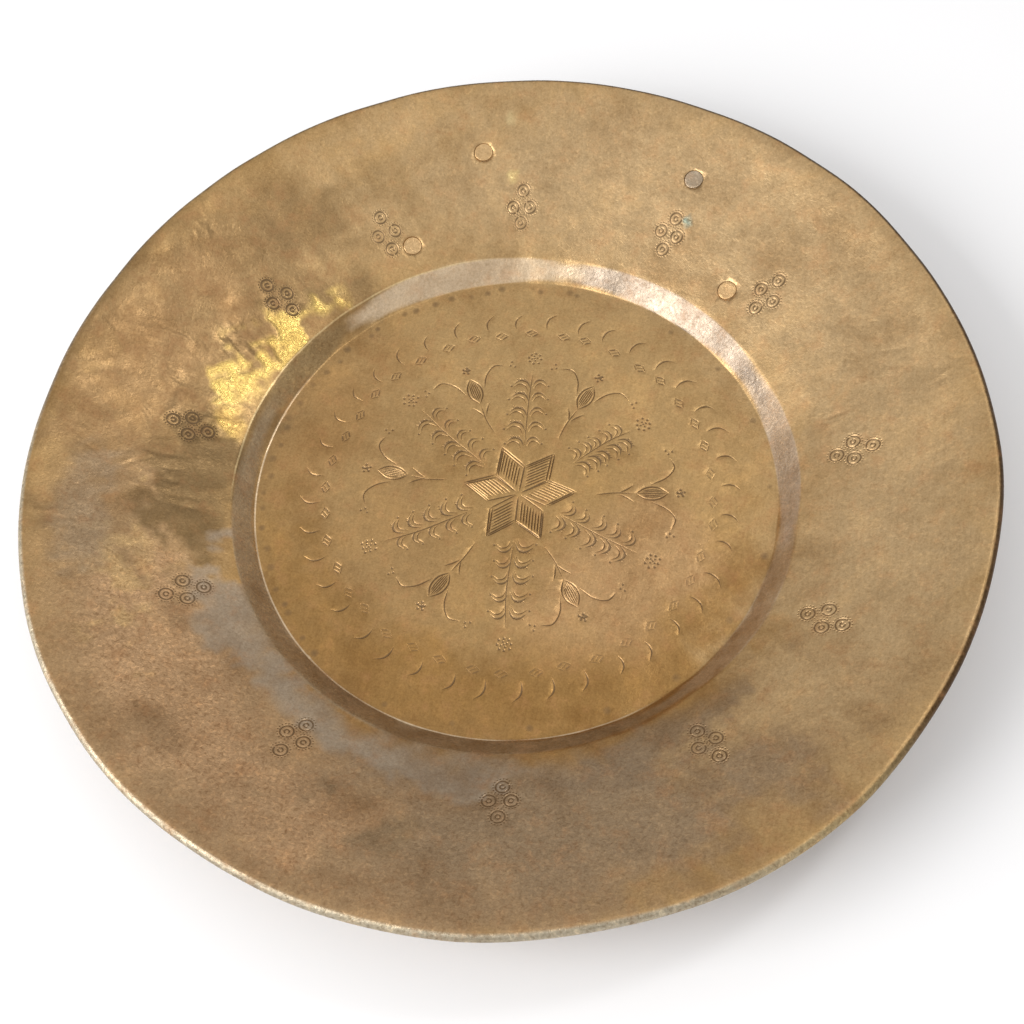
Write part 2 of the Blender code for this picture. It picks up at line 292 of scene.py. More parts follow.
def from_rivets(places):
    """Distance along the sloping face from each plan place, in metres, to the nearest rivet's middle."""
    gap = places[:, None] - RIVET_MIDDLES
    outward = (gap * RIVET_OUT).sum(axis=-1)
    aside = gap[..., 0] * RIVET_OUT[:, 1] - gap[..., 1] * RIVET_OUT[:, 0]
    return np.hypot(outward / math.cos(RIM_ANGLE), aside).min(axis=1)


def seat_rings():
    """Plan places, in millimetres, of the rings round each rivet: circles on the sloping face."""
    rings = []
    for radius, count in ((RIVET_SEAT, 48), (RIVET_SEAT - 0.0002, 48), (0.0025, 12)):
        turn = np.linspace(0, 2 * np.pi, count, endpoint=False)
        for middle, out in zip(RIVET_MIDDLES, RIVET_OUT):
            side = np.array([-out[1], out[0]])
            flat = np.outer(np.cos(turn) * math.cos(RIM_ANGLE), out) + np.outer(np.sin(turn), side)
            rings.append((middle + radius * flat) / MM)
    return np.vstack(rings)


def bumps(x, y, centres, radii, heights, stretch=None):
    """Sum of round, or stretched, bell-shaped bumps, added up in slices of the points."""
    total = np.zeros(x.shape)
    for part in np.array_split(np.arange(x.size), max(1, x.size // 4000)):
        dx = x[part, None] - centres[None, :, 0]
        dy = y[part, None] - centres[None, :, 1]
        if stretch is not None:
            cos, sin, ratio = np.cos(stretch[:, 0]), np.sin(stretch[:, 0]), stretch[:, 1]
            dx, dy = (dx * cos + dy * sin) / ratio, dy * cos - dx * sin
        total[part] = (heights * np.exp(-(dx**2 + dy**2) / radii**2)).sum(axis=1)
    return total


def spread(count, inner, outer, low=0.0, high=360.0):
    """Seeded places scattered evenly over a ring of the dish, or over a sector of it."""
    radius = np.sqrt(hand.uniform(inner**2, outer**2, count))
    return radius[:, None] * heading(hand.uniform(low, high, count))


DENTS = spread(900, 0.0, 0.235)
DENT_RADII = hand.uniform(0.006, 0.016, len(DENTS))
DENT_HEIGHTS = hand.normal(0, 0.00006, len(DENTS)) * (DENT_RADII / 0.010)
SWELLS = spread(70, 0.0, 0.235)
SWELL_RADII = hand.uniform(0.020, 0.045, len(SWELLS))
SWELL_HEIGHTS = hand.normal(0, 0.00028, len(SWELLS))
FOLDS = np.vstack([
    spread(20, 0.160, 0.226, 150, 205),
    spread(12, 0.149, 0.174, 156, 184),
    spread(5, 0.160, 0.215, 195, 232),
    spread(5, 0.165, 0.222, 5, 40),
])
CREASES = np.repeat(FOLDS, 6, axis=0) + hand.normal(0, 0.0042, (6 * len(FOLDS), 2))
CREASE_RADII = hand.uniform(0.0006, 0.0012, len(CREASES))
CREASE_HEIGHTS = np.sign(hand.normal(0, 1, len(CREASES))) * hand.uniform(0.00008, 0.00020, len(CREASES))
CREASE_TURNS = np.arctan2(FOLDS[:, 1], FOLDS[:, 0]) + hand.normal(0.15, 0.45, len(FOLDS))
CREASE_TURNS = np.repeat(CREASE_TURNS, 6) + hand.normal(0, 0.16, len(CREASES))
CREASE_STRETCH = np.column_stack([CREASE_TURNS, hand.uniform(4, 11, len(CREASES))])


def away_from_fixings(x, y):
    """1 over most of the dish and 0 near the rivets and the straps behind them."""
    clear = np.ones(x.shape)
    for inner, outer in ((RIVETS[0], RIVETS[1]), (RIVETS[2], RIVETS[3])):
        along = (outer - inner) / np.linalg.norm(outer - inner)
        dx, dy = x - inner[0], y - inner[1]
        reach = np.clip(dx * along[0] + dy * along[1], -0.010, 0.082)
        gap = np.hypot(dx - reach * along[0], dy - reach * along[1])
        clear *= np.clip((gap - 0.011) / 0.018, 0, 1)
    return clear * clear * (3 - 2 * clear)


def unevenness(x, y):
    """How far hand work has pushed the sheet up from its true form."""
    radius, turn = np.hypot(x, y), np.arctan2(y, x)
    planished = bumps(x, y, DENTS, DENT_RADII, DENT_HEIGHTS)
    planished += bumps(x, y, SWELLS, SWELL_RADII, SWELL_HEIGHTS) * np.clip(radius / 0.12, 0.35, 1)
    planished += bumps(x, y, CREASES, CREASE_RADII, CREASE_HEIGHTS, CREASE_STRETCH)
    warp = 0.0007 * np.sin(2 * turn + 0.6) + 0.0005 * np.sin(3 * turn + 2.1) + 0.0003 * np.sin(7 * turn)
    rested = np.clip((radius - 0.125) / 0.06, 0, 1)
    return (planished + warp * rested) * away_from_fixings(x, y)


def outward_wander(turn):
    """The outline is not quite a circle: how much further out it runs at an angle."""
    wander = 0.0009 * np.sin(2 * turn - 0.8) + 0.0007 * np.sin(3 * turn + 1.3)
    wander += 0.0003 * np.arcsin(np.sin(8 * turn + 0.5)) + 0.00018 * np.sin(17 * turn)
    flattened = (np.mod(turn - 0.30 + math.pi, 2 * math.pi) - math.pi) / 0.85
    wander -= 0.0050 * np.exp(-(flattened**2))
    for middle, reach in ((-2.55, 0.40), (-0.85, 0.26)):
        pushed = (np.mod(turn - middle + math.pi, 2 * math.pi) - math.pi) / reach
        wander += 0.0026 * np.exp(-(pushed**2))
    return wander


def edge_share(radius):
    """How much of the outline's wander reaches a radius: none inside the rivets, all at the edge."""
    share = np.clip((radius - 0.208) / 0.024, 0, 1)
    return share * share * (3 - 2 * share)


def grooves(points):
    """Depth of the chisel cuts and punch marks at each point, and how far away the nearest one is.

    A cut is V-shaped: full depth on its line, nothing at its half width. Points and cuts are
    compared tile by tile, so that each point meets only the cuts near it.
    """
    depth, nearest = np.zeros(len(points)), np.full(len(points), 9.0)
    starts = np.vstack([line[:-1] for line in cuts])
    ends = np.vstack([line[1:] for line in cuts])
    marks = np.array(punches)
    tile = 12.0
    cell = np.floor(points / tile).astype(int)
    order = np.lexsort((cell[:, 1], cell[:, 0]))
    edges = np.flatnonzero(np.any(np.diff(cell[order], axis=0) != 0, axis=1)) + 1
    for group in np.split(order, edges):
        low, high = cell[group[0]] * tile - 2.0, (cell[group[0]] + 1) * tile + 2.0
        keep = np.all((starts[:, :2] < high) & (starts[:, :2] > low), axis=1)
        if keep.any():
            a, b, p = starts[keep], ends[keep], points[group, None]
            run = b[:, :2] - a[:, :2]
            t = np.clip(((p - a[:, :2]) * run).sum(-1) / np.maximum((run**2).sum(-1), 1e-9), 0, 1)
            gap = np.linalg.norm(p - a[:, :2] - t[..., None] * run, axis=-1)
            half = a[:, 2] + t * (b[:, 2] - a[:, 2])
            deep = (a[:, 3] + t * (b[:, 3] - a[:, 3])) * np.clip(1 - gap / half, 0, 1)
            depth[group] = deep.max(axis=1)
            nearest[group] = (gap - half).min(axis=1)
        keep = np.all((marks[:, :2] < high + 2) & (marks[:, :2] > low - 2), axis=1)
        if keep.any():
            gap = np.linalg.norm(points[group, None] - marks[keep, :2], axis=-1)
            deep = marks[keep, 3] * np.clip(1 - (gap / marks[keep, 2]) ** 2, 0, 1)
            depth[group] = np.maximum(depth[group], deep.max(axis=1))
            nearest[group] = np.minimum(nearest[group], (gap - marks[keep, 2]).min(axis=1))
    return depth, nearest


def ring_points(centres, radius, count):
    """Points in a ring round each centre, as one array."""
    turns = heading(np.linspace(0, 360, count, endpoint=False) + 11)
    return (centres[:, None] + np.asarray(radius).reshape(-1, 1, 1) * turns).reshape(-1, 2)


def face_points():
    """Plan points of the face in millimetres, and the links that keep each cut's bottom unbroken."""
    rolled_from = (roll_centre()[0] - (ROLL_RADIUS + SHEET / 2) * math.sin(RIM_ANGLE)) / MM
    outline = rolled_from * heading(np.arange(AROUND) * 360 / AROUND)
    parts, links, first = [outline], [], AROUND
    for line in cuts:
        parts.append(line[:, :2])
        links.append(first + np.column_stack([np.arange(len(line) - 1), np.arange(1, len(line))]))
        first += len(line)
    for line in cuts:
        run = np.gradient(line[:, :2], axis=0)
        run /= np.linalg.norm(run, axis=1)[:, None]
        sideways = np.column_stack([-run[:, 1], run[:, 0]]) * line[:, 2:3]
        parts += [line[:, :2] + sideways, line[:, :2] - sideways]
    marks = np.array(punches)
    small, tiny = marks[:, 2] < 1.2, marks[:, 2] < 0.5
    parts.append(marks[:, :2])
    parts.append(ring_points(marks[tiny, :2], marks[tiny, 2], 6))
    parts.append(ring_points(marks[~tiny, :2], marks[~tiny, 2], 9))
    parts.append(ring_points(marks[~small, :2], 0.55 * marks[~small, 2], 6))
    parts.append(seat_rings())
    spacing = 3.05
    rows = np.arange(spacing, rolled_from - 1.2, spacing)
    field = [
        row * heading(np.linspace(0, 360, int(2 * np.pi * row / spacing), endpoint=False) + 77 * index)
        for index, row in enumerate(rows)
    ]
    lengths = np.linspace(-1.8, 1.8, 17)[:, None] * CREASE_STRETCH[:, 1]
    offsets = np.array([-1.6, -0.8, 0.0, 0.8, 1.6])
    along = heading(np.degrees(CREASE_TURNS))
    aside = np.column_stack([-along[:, 1], along[:, 0]])
    folds = CREASES + (lengths * CREASE_RADII)[..., None] * along
    folds = (folds[None] + (offsets[:, None] * CREASE_RADII)[:, None, :, None] * aside) / MM
    wall_rows = (133.4, 134.4, 134.8, 135.1, 135.6, 135.9, 136.4, 137.4, 139.6, 142.2, 144.3)
    wall_rows += (145.0, 145.25, 145.5, 146.0, 146.25, 146.6, 147.6, 149.2)
    walls = []
    for row in wall_rows:
        step = 0.5 if 134.5 < row < 136.0 or 145.2 < row < 146.3 else 1.0
        walls.append(row * heading(np.arange(0, 360, step)))
    plain = np.vstack(field + [folds.reshape(-1, 2)])
    radius = np.hypot(*plain.T)
    off_wall = (radius < WALL_BAND[0]) | (radius > WALL_BAND[1])
    plain = plain[(radius < rolled_from - 1.2) & off_wall]
    near = np.floor(plain).astype(int)
    _, once = np.unique(near, axis=0, return_index=True)
    plain = np.vstack([plain[np.sort(once)]] + walls)
    _, gap = grooves(plain)
    plain = plain[(gap > 0.55) & (from_rivets(plain * MM) > RIVET_SEAT + 0.0006)]
    return np.vstack(parts + [plain]), np.vstack(links)


# Old stains, with painted highlights, painted reflections and painted shade among them, as (angle, radius
# in mm, half span in degrees, half width in mm, edge, colour, strength, roughness). A high edge gives a
# stain a sharp outline, and each lies over those before it.
GOLD = (0.50, 0.315, 0.132)
STAINS_AND_PAINTED_LIGHT = (
    # broad tones of the rim
    (60, 190, 75, 60, 2, (0.56, 0.395, 0.215), 0.90, 0.40),
    (-14, 190, 24, 60, 2, (0.56, 0.395, 0.215), 0.80, 0.40),
    (168, 185, 36, 60, 3, (0.275, 0.178, 0.085), 0.88, 0.36),
    (-103, 195, 62, 66, 3, (0.43, 0.285, 0.165), 0.80, 0.42),
    (-68, 185, 28, 46, 2, (0.36, 0.265, 0.170), 0.75, 0.42),
    # the rim's darker and coppery patches, and painted reflection
    (-52, 160, 18, 16, 3, (0.29, 0.215, 0.145), 0.60, 0.40),
    # painted reflection: grey patches at the lower left by the well, and a dark, sharp-edged one at the
    # left
    (-100, 156, 26, 13, 6, (0.41, 0.330, 0.245), 0.85, 0.34),
    (-140, 156, 14, 16, 6, (0.41, 0.330, 0.245), 0.80, 0.34),
    (-167, 168, 13, 24, 6, (0.215, 0.140, 0.065), 0.80, 0.36),
    # coppery and darker patches
    (-134, 196, 17, 26, 3, (0.54, 0.345, 0.190), 0.72, 0.47),
    (-110, 203, 13, 20, 3, (0.53, 0.340, 0.190), 0.60, 0.46),
    (-150, 200, 6, 14, 3, (0.60, 0.410, 0.190), 0.60, 0.45),
    (-126, 212, 4, 7, 3, (0.30, 0.190, 0.100), 0.55, 0.42),
    (-141, 180, 3, 5, 3, (0.30, 0.190, 0.100), 0.50, 0.42),
    (-160, 212, 10, 12, 3, (0.34, 0.255, 0.170), 0.60, 0.42),
    (-92, 196, 7, 12, 4, (0.26, 0.185, 0.105), 0.45, 0.42),
    (175, 205, 20, 24, 2, (0.42, 0.255, 0.120), 0.50, 0.38),
    # painted highlight: the glare of a lamp on the left of the rim, as bright gold patches
    (159, 158, 8, 14, 2, (0.98, 0.700, 0.210), 0.92, 0.22),
    (178, 155, 4, 8, 2, (0.80, 0.530, 0.160), 0.75, 0.24),
    # rubbed back to gold
    (102.6, 188, 0.9, 3.0, 2, (0.95, 0.740, 0.330), 0.85, 0.24),
    (102.6, 218, 0.6, 2.0, 2, (0.95, 0.780, 0.420), 0.80, 0.26),
    # the floor
    (-85, 118, 82, 32, 3, (0.355, 0.195, 0.062), 0.82, 0.38),
    (-150, 75, 60, 36, 2, (0.44, 0.275, 0.125), 0.60, 0.38),
    (100, 95, 85, 44, 2, (0.56, 0.370, 0.170), 0.80, 0.38),
    (165, 112, 30, 22, 2, (0.46, 0.265, 0.105), 0.55, 0.38),
    (-30, 75, 40, 34, 2, (0.56, 0.350, 0.175), 0.70, 0.40),
    # a fleck of verdigris
    (70.6, 181, 0.8, 2.0, 2, (0.30, 0.50, 0.47), 0.80, 0.60),
    # the wall's tones, painted reflection: pale and pinkish at the far side, dark at the left
    (-20, 140.7, 26, 5.4, 12, (0.60, 0.455, 0.300), 0.92, 0.38),
    (20, 140.7, 24, 5.4, 12, (0.55, 0.435, 0.325), 0.92, 0.40),
    (64, 140.7, 32, 5.4, 12, (0.365, 0.300, 0.240), 0.95, 0.42),
    (115, 140.7, 29, 5.4, 12, (0.74, 0.580, 0.400), 0.92, 0.38),
    (158, 140.7, 14, 5.4, 12, (0.36, 0.250, 0.125), 0.90, 0.42),
    (-115, 140.7, 78, 5.6, 12, (0.40, 0.300, 0.188), 0.92, 0.40),
    # painted highlight: bright lines at the wall's foot and at its mouth
    (-125, 135.35, 88, 0.45, 12, (0.74, 0.580, 0.400), 0.78, 0.34),
    (150, 145.75, 50, 0.45, 12, (0.80, 0.620, 0.340), 0.55, 0.34),
)
# The rolled lip's colour, from angle to angle: dark round the right and the top, a painted shade, and pale
# at the bottom and the lower left, a painted highlight; and the one finish of the back.
EDGE_ANGLES = (-180, -165, -150, -60, -40, -25, 70, 90, 140, 160, 180)
# the pale lip colour is painted highlight, the dark ones painted shade
LEAD, LIT_LIP, OCHRE = (0.34, 0.26, 0.17), (0.46, 0.40, 0.30), (0.46, 0.35, 0.18)
SHADED_LIP = ((0.12, 0.07, 0.032), (0.08, 0.05, 0.027), (0.14, 0.10, 0.06))
BROWN = ((0.26, 0.19, 0.10), (0.28, 0.21, 0.13))
LIP_SHADE_AND_HIGHLIGHT = np.array([LEAD, (0.44, 0.37, 0.26), LIT_LIP, LIT_LIP, OCHRE, *SHADED_LIP, *BROWN, LEAD])
LIP_FROM = 236.9
BACK_FINISH = (0.40, 0.26, 0.12, 0.42)


def stains_and_painted_light(x, y):
    """Colour and roughness of the old brass, its stains mixed with painted highlights, reflections and
    shade; each stain fades from its middle to its edge.
    """
    finish = np.tile((*GOLD, 0.38), (len(x), 1))
    radius, turn = np.hypot(x, y) / MM, np.degrees(np.arctan2(y, x))
    ripple = 5 * np.sin(x * 61 + 2 * np.sin(y * 83)) + 4 * np.sin(y * 97 + 2 * np.sin(x * 71))
    ripple += 3 * np.sin(x * 310 + 2 * np.sin(y * 270)) + 2 * np.sin(y * 520 + 2 * np.sin(x * 430))
    for angle, middle, span, width, edge, tint, strength, rough in STAINS_AND_PAINTED_LIGHT:
        loose = np.clip((width - 6) / 8, 0, 1)
        across = (np.mod(turn - angle + 180 + ripple * loose, 360) - 180) / span
        away = np.sqrt(across**2 + ((radius - middle + ripple * 0.8 * loose) / width) ** 2)
        weight = strength * np.exp(-np.minimum(away, 9) ** (2 * edge) * 0.8)[:, None]
        finish = finish * (1 - weight) + np.array((*tint, rough)) * weight
    # the rolled lip: painted shade round the right and top, painted highlight at the bottom and lower left
    lip = np.clip((radius - LIP_FROM) / 0.8, 0, 1)[:, None]
    finish[:, 3:] = finish[:, 3:] * (1 - lip) + 0.50 * lip
    edge = np.column_stack([np.interp(turn, EDGE_ANGLES, LIP_SHADE_AND_HIGHLIGHT[:, k]) for k in range(3)])
    finish[:, :3] = finish[:, :3] * (1 - lip) + edge * lip
    return finish


def make_dish():
    """One closed sheet: engraved face, rolled edge and back."""
    plan, links = face_points()
    places = [Vector(p) for p in plan]
    flat, _, faces, *_ = geometry.delaunay_2d_cdt(places, links.tolist(), [], 0, 1e-4, True)
    plan = np.array([tuple(p) for p in flat])
    faces = np.array([f for f in faces if len(f) == 3])
    a, b, c = (plan[faces[:, k]] for k in range(3))
    area = (b[:, 0] - a[:, 0]) * (c[:, 1] - a[:, 1]) - (b[:, 1] - a[:, 1]) * (c[:, 0] - a[:, 0])
    faces = faces[np.abs(area) > 1e-6]
    area = area[np.abs(area) > 1e-6]
    faces[area < 0] = faces[area < 0][:, ::-1]
    used = np.unique(faces)
    renumber = np.zeros(len(plan), int)
    renumber[used] = np.arange(len(used))
    faces, plan = renumber[faces], plan[used]
    depth, _ = grooves(plan)
    x, y = plan.T * MM
    radius, turn = np.hypot(x, y), np.arctan2(y, x)
    pocket = RIVET_POCKET * np.clip((RIVET_SEAT - 0.00002 - from_rivets(plan * MM)) / 0.00015, 0, 1)
    thick = SHEET / 2 * np.sqrt(1 + mid_slope(radius) ** 2)
    height = mid_height(radius + beaten(turn)) + thick + unevenness(x, y) - depth * MM - pocket
    out = 1 + outward_wander(turn) / RIM_RADIUS * edge_share(radius)
    face = np.column_stack([x * out, y * out, height])
    rim = np.argsort(-radius)[:AROUND]
    rim = rim[np.argsort(np.mod(turn[rim] + 1e-6, 2 * np.pi))]

    roll_x, roll_z = roll_centre()
    sweep = RIM_ANGLE + math.pi / 2 - np.linspace(0, ROLL_SWEEP, 13)
    outer = np.column_stack([np.cos(sweep), np.sin(sweep)]) * (ROLL_RADIUS + SHEET / 2)
    inner = np.column_stack([np.cos(sweep[::-1]), np.sin(sweep[::-1])]) * (ROLL_RADIUS - SHEET / 2)
    end = np.column_stack([np.cos(sweep[-1:]), np.sin(sweep[-1:])]) * ROLL_RADIUS
    curl = np.vstack([outer[1:], end, inner]) + (roll_x, roll_z)
    stretches = ((roll_x - 0.0022, 0.1500, 12), (0.1485, 0.1320, 7), (0.1260, 0.0060, 6))
    back_r = np.concatenate([np.linspace(*stretch) for stretch in stretches])
    thin = SHEET / 2 * np.sqrt(1 + mid_slope(back_r) ** 2)
    profile = np.vstack([curl, np.column_stack([back_r, mid_height(back_r) - thin])])
    angle = np.arange(AROUND) * 2 * np.pi / AROUND
    r = profile[:, :1] * (1 + outward_wander(angle) / RIM_RADIUS * edge_share(profile[:, :1]))
    sheet_x, sheet_y = r * np.cos(angle), r * np.sin(angle)
    within = np.minimum(profile[:, :1], EDGE_MOVES_AS)
    lift = unevenness((within * np.cos(angle)).ravel(), (within * np.sin(angle)).ravel())
    lift = lift.reshape(sheet_x.shape)
    lift += mid_height(profile[:, :1] + beaten(angle)) - mid_height(profile[:, :1])
    back = np.stack([sheet_x, sheet_y, profile[:, 1:] + lift], axis=-1)
    back[..., 2][back[..., 2] < 0] = 0

    start = len(face)
    grid = start + np.arange(profile.shape[0] * AROUND).reshape(-1, AROUND)
    rows = np.vstack([rim, grid])
    nxt = np.roll(rows, -1, axis=1)
    quads = np.stack([rows[:-1], rows[1:], nxt[1:], nxt[:-1]], axis=-1).reshape(-1, 4)
    pole = start + back.shape[0] * AROUND
    fan = np.column_stack([grid[-1], np.full(AROUND, pole), np.roll(grid[-1], -1)])
    verts = np.vstack([face, back.reshape(-1, 3), [[0, 0, 0]]])
    mesh = bpy.data.meshes.new("dish_sheet")
    mesh.from_pydata(verts.tolist(), [], faces.tolist() + quads.tolist() + fan.tolist())
    cut_face = (depth[faces].max(axis=1) > 0.02) | (pocket[faces].max(axis=1) > 0)
    smooth = np.concatenate([~cut_face, np.ones(len(quads) + len(fan), bool)])
    mesh.polygons.foreach_set("use_smooth", smooth)
    shade = np.zeros(len(verts), np.float32)
    shade[: len(face)] = np.clip(depth / 0.22, 0, 1)
    mesh.attributes.new("cut_depth", "FLOAT", "POINT").data.foreach_set("value", shade)
    true_x = np.concatenate([x, (profile[:, :1] * np.cos(angle)).ravel(), [0]])
    true_y = np.concatenate([y, (profile[:, :1] * np.sin(angle)).ravel(), [0]])
    # stains, with painted highlights, painted reflections and painted shade on the lip, as one colour
    # attribute
    patina_and_painted_light = stains_and_painted_light(true_x, true_y).astype(np.float32)
    patina_and_painted_light[start + len(curl) * AROUND :] = BACK_FINISH
    mesh.attributes.new("patina_and_painted_light", "FLOAT_COLOR", "POINT").data.foreach_set("color", patina_and_painted_light.ravel())
    mesh.update()
    sheet = bpy.data.objects.new("dish_sheet", mesh)
    bpy.context.scene.collection.objects.link(sheet)
    return sheet


def graph(material):
    """The material's nodes, its shader, and a short way to add a node with its settings and links."""
    material.use_nodes = True
    tree = material.node_tree

    def add(kind, links=None, **settings):
        node = tree.nodes.new("ShaderNode" + kind)
        for name, value in settings.items():
            setattr(node, name, value)
        for socket, value in (links or {}).items():
            if isinstance(value, bpy.types.NodeSocket):
                tree.links.new(value, node.inputs[socket])
            else:
                node.inputs[socket].default_value = value
        return node

    return tree, tree.nodes["Principled BSDF"], add


def hammered_brass(name, colour=None, tarnish=0.0, roughness=0.36):
    """Old brass: patchy colour, dark cuts, a leathery grain and the flats of the planishing hammer.

    The colour is the piece's attribute of stains and painted light, with its painted highlights,
    reflections and shade, where it has one, or else one colour.
    it between brown and yellow, fine noise speckles it, and the cuts are blackened.
    """
    material = bpy.data.materials.new(name)
    tree, shader, add = graph(material)
    place = add("TexCoord").outputs["Object"]

    def mottle(vector, scale, detail, rough, distortion=0.0):
        settings = {"Vector": vector, "Scale": scale, "Detail": detail, "Roughness": rough}
        return add("TexNoise", {**settings, "Distortion": distortion}).outputs["Fac"]

    slow = mottle(place, 22.0, 8.0, 0.68, 0.4)
    clouds = mottle(place, 95.0, 6.0, 0.66)
    speck = mottle(place, 900.0, 3.0, 0.7)
    grain = mottle(place, 480.0, 4.0, 0.62, 0.6)
    drawn = add("Mapping", {"Vector": place, "Rotation": (0, 0, 0.9), "Scale": (700.0, 70.0, 300.0)})
    brushed = mottle(drawn.outputs[0], 1.0, 2.0, 0.6)
    if colour is None:
        # stains with painted highlights, reflections and shade, read from the sheet
        patina_and_painted_light = add("Attribute", attribute_name="patina_and_painted_light")
        base, finish = patina_and_painted_light.outputs["Color"], patina_and_painted_light.outputs["Alpha"]
        depth = add("Attribute", attribute_name="cut_depth").outputs["Fac"]
    else:
        base, finish, depth = (*colour, 1), roughness, None

    def ramp(value, low, high, from_low, from_high):
        known = {"Value": value, "From Min": from_low, "From Max": from_high}
        return add("MapRange", {**known, "To Min": low, "To Max": high}).outputs["Result"]

    def tinted(under, tint, amount, mode="MIX"):
        mix = add("Mix", data_type="RGBA", blend_type=mode)
        for socket, value in ((mix.inputs[0], amount), (mix.inputs[6], under), (mix.inputs[7], tint)):
            if isinstance(value, bpy.types.NodeSocket):
                tree.links.new(value, socket)
            else:
                socket.default_value = value
        return mix.outputs[2]

    def math_node(operation, first, second):
        return add("Math", {0: first, 1: second}, operation=operation).outputs[0]

    rubbed = ramp(finish, 0.30, 1.0, 0.385, 0.46) if colour is None else 0.4
    low = math_node("MULTIPLY", ramp(grain, 0.85, 0.0, 0.32, 0.47), rubbed)
    high = math_node("MULTIPLY", ramp(grain, 0.0, 0.95, 0.53, 0.68), rubbed)
    look = tinted(base, (0.66, 0.58, 0.50, 1), ramp(slow, 0.0, 0.6 + tarnish, 0.50, 0.68), "MULTIPLY")
    look = tinted(look, (1.28, 1.24, 1.16, 1), ramp(slow, 0.6, 0.0, 0.34, 0.48), "MULTIPLY")
    look = tinted(look, (0.46, 0.24, 0.11, 1), ramp(clouds, 0.0, 0.30, 0.52, 0.68))
    look = tinted(look, (0.86, 0.84, 0.81, 1), ramp(brushed, 0.0, 0.3, 0.45, 0.62), "MULTIPLY")
    look = tinted(look, (0.62, 0.56, 0.49, 1), low, "MULTIPLY")
    look = tinted(look, (1.45, 1.42, 1.36, 1), high, "MULTIPLY")
    look = tinted(look, (0.74, 0.70, 0.64, 1), ramp(speck, 0.0, 0.55, 0.44, 0.66), "MULTIPLY")
    if depth is not None:
        look = tinted(look, (0.180, 0.115, 0.062, 1), ramp(depth, 0.0, 0.80, 0.02, 0.50))
    tree.links.new(look, shader.inputs["Base Color"])
    shader.inputs["Metallic"].default_value = 1.0
    dulled = math_node("ADD", finish, ramp(clouds, -0.06, 0.12, 0.35, 0.65))
    tree.links.new(dulled, shader.inputs["Roughness"])

    flats = add("TexVoronoi", {"Vector": place, "Scale": 75.0, "Smoothness": 0.7}, feature="SMOOTH_F1")
    hammer = add("Bump", {"Height": flats.outputs["Distance"], "Strength": 1.0, "Distance": 0.0005})
    fine = add("Bump", {"Height": brushed, "Distance": 0.000015, "Normal": hammer.outputs[0]})
    relief = grain
    if colour is None:
        crumpled, leathery = ramp(finish, 2.2, 0.0, 0.22, 0.33), ramp(finish, 0.55, 1.6, 0.38, 0.46)
        relief = math_node("MULTIPLY", grain, math_node("ADD", crumpled, leathery))
    leather = add("Bump", {"Height": relief, "Distance": 0.00022, "Normal": fine.outputs[0]})
    tree.links.new(leather.outputs[0], shader.inputs["Normal"])
    return material


dish = make_dish()
dish.data.materials.append(hammered_brass("old_brass"))
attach(dish, "dish")
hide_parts("dish")

# ---------------------------------------------------------------------------------------------
# The wire in the edge: iron wire bent to a hoop, closed in by the rolled brass. Only its dark
# line shows in the seam under the rim.
# ---------------------------------------------------------------------------------------------
def dark_iron(name):
    """Black iron wire, dull, with a little brown rust."""
    material = bpy.data.materials.new(name)
    tree, shader, add = graph(material)
    place = add("TexCoord").outputs["Object"]
    rust = add("TexNoise", {"Vector": place, "Scale": 240.0, "Detail": 5.0, "Roughness": 0.65})
    ramp = add("ValToRGB", {"Fac": rust.outputs["Fac"]})
    black, rusty = ramp.color_ramp.elements
    black.position, black.color = 0.42, (0.075, 0.066, 0.06, 1)
    rusty.position, rusty.color = 0.70, (0.20, 0.105, 0.055, 1)
    tree.links.new(ramp.outputs["Color"], shader.inputs["Base Color"])
    shader.inputs["Metallic"].default_value = 0.75
    shader.inputs["Roughness"].default_value = 0.52
    pits = add("Bump", {"Height": rust.outputs["Fac"], "Strength": 1.0, "Distance": 0.00012})
    tree.links.new(pits.outputs[0], shader.inputs["Normal"])
    return material


iron = dark_iron("dark_iron")
EDGE_WIRE_RADIUS = 0.0017


def make_edge_wire():
    """A round section carried round the axis, following every wave and wander of the rolled edge."""
    around = np.radians(np.arange(AROUND) * 360 / AROUND)
    section = np.radians(np.arange(16) * 22.5)
    roll_r, roll_z = roll_centre()
    r = roll_r + EDGE_WIRE_RADIUS * np.cos(section)[:, None]
    z = roll_z + EDGE_WIRE_RADIUS * np.sin(section)[:, None]
    lift = unevenness(EDGE_MOVES_AS * np.cos(around), EDGE_MOVES_AS * np.sin(around))
    r = r * (1 + outward_wander(around) / RIM_RADIUS)
    verts = np.stack([r * np.cos(around), r * np.sin(around), z + lift], axis=-1)
    grid = np.arange(verts.shape[0] * verts.shape[1]).reshape(verts.shape[:2])
    up, nxt = np.roll(grid, -1, axis=0), np.roll(grid, -1, axis=1)
    quads = np.stack([grid, nxt, np.roll(up, -1, axis=1), up], axis=-1).reshape(-1, 4)
    mesh = bpy.data.meshes.new("rim_wire")
    mesh.from_pydata(verts.reshape(-1, 3).tolist(), [], quads.tolist())
    mesh.shade_smooth()
    wire = bpy.data.objects.new("rim_wire", mesh)
    bpy.context.scene.collection.objects.link(wire)
    return wire


rim_wire = make_edge_wire()
rim_wire.data.materials.append(iron)
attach(rim_wire, "dish")
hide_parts("edge_wire")

# ---------------------------------------------------------------------------------------------
# The rivets: four brass rivets through rim and straps. Their heads are hammered down flush with
# the face, and their tails are rounded over behind.
# ---------------------------------------------------------------------------------------------
RIVET_HEAD, RIVET_SHANK, RIVET_TAIL = 0.00500, 0.0025, 0.0045
TAIL_SEAT, TAIL_RISE = -0.0039, 0.0020


